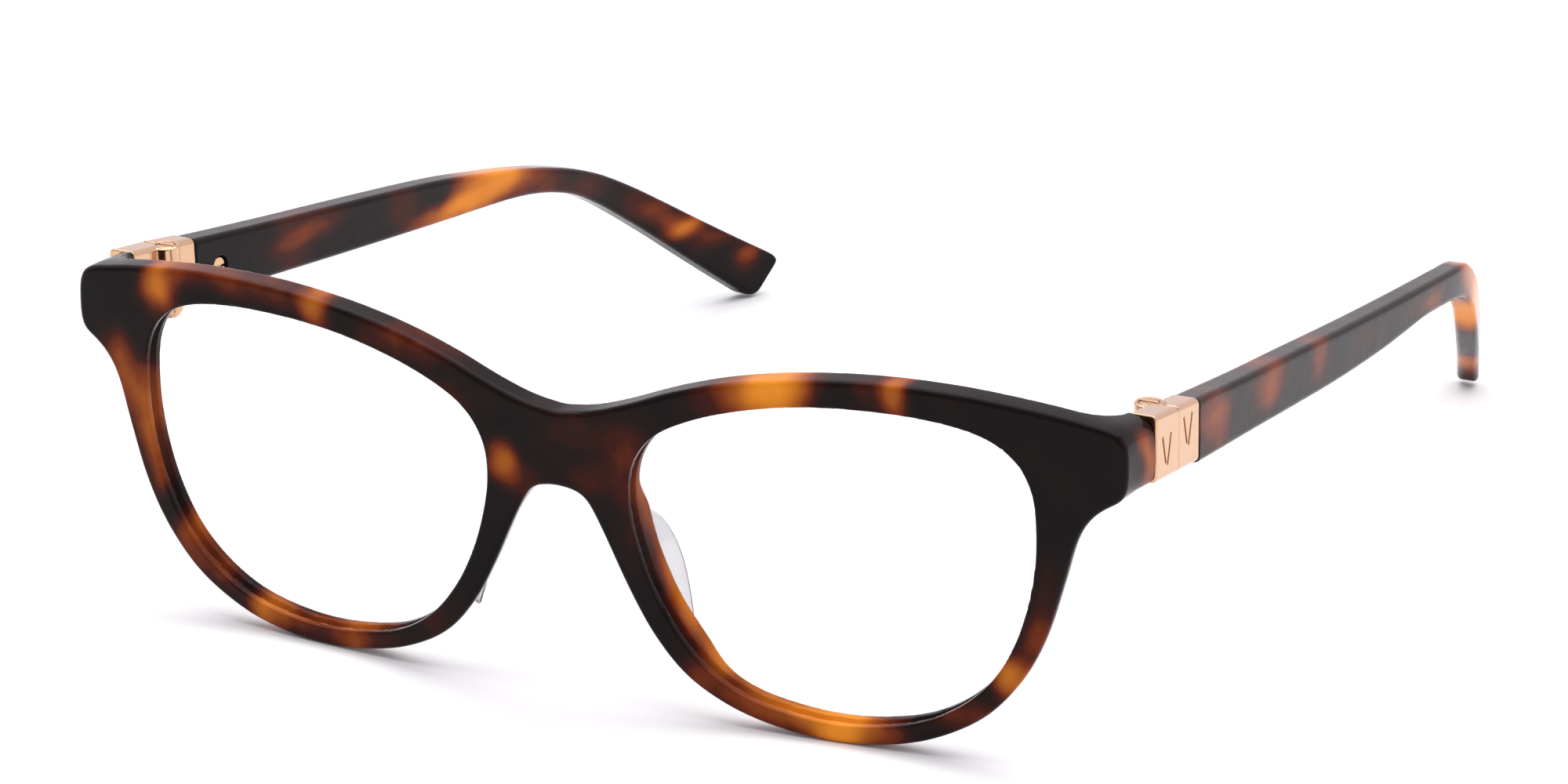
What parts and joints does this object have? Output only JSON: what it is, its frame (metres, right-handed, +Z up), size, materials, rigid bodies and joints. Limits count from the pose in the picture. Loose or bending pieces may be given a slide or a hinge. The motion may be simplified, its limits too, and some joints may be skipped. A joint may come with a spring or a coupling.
{
  "type": "eyeglasses frame",
  "caption": "Full-rim tortoiseshell acetate eyeglasses frame with clear nose pads, metal block hinges and folding wire-core temples, without lenses.",
  "frame": {"origin": "on the floor under the middle of the frame's outer box", "axes": "+X towards the wearer's left (the right-hand side seen from the front), +Y back along the temples, +Z up"},
  "size_m": [0.1406, 0.1676, 0.0464],
  "materials": {
    "tortoise_acetate": "polished, dark brown with amber and red-brown patches",
    "clear_acetate": "polished, clear",
    "rose_gold": "polished rose-gold plating",
    "steel": "drawn, hidden inside"
  },
  "bodies": {
    "front_body": {"front": "tortoise_acetate", "nose_pad_left": "clear_acetate", "nose_pad_right": "clear_acetate", "front_hinge_block_left": "rose_gold", "front_hinge_block_right": "rose_gold", "hinge_screw_left": "rose_gold", "hinge_screw_right": "rose_gold", "hinge_nut_left": "rose_gold", "hinge_nut_right": "rose_gold", "anchor_pin_upper_left": "steel", "anchor_pin_upper_right": "steel", "anchor_pin_lower_left": "steel", "anchor_pin_lower_right": "steel"},
    "temple_left_body": {"temple_hinge_block_left": "rose_gold", "temple_left": "tortoise_acetate", "core_wire_left": "steel", "temple_screw_left": "rose_gold"},
    "temple_right_body": {"temple_hinge_block_right": "rose_gold", "temple_right": "tortoise_acetate", "core_wire_right": "steel", "temple_screw_right": "rose_gold"}
  },
  "joints": [
    {"name": "fold_right", "type": "hinge", "parent": "front_body", "child": "temple_right_body", "pos_m": [0.0665, -0.06224, 0.03783], "axis": [0, -0.0698, 0.9976], "range_deg": [0, 82]},
    {"name": "fold_left", "type": "hinge", "parent": "front_body", "child": "temple_left_body", "pos_m": [-0.0665, -0.06224, 0.03783], "axis": [0, 0.0698, -0.9976], "range_deg": [-4.5, 85.5]}
  ]
}
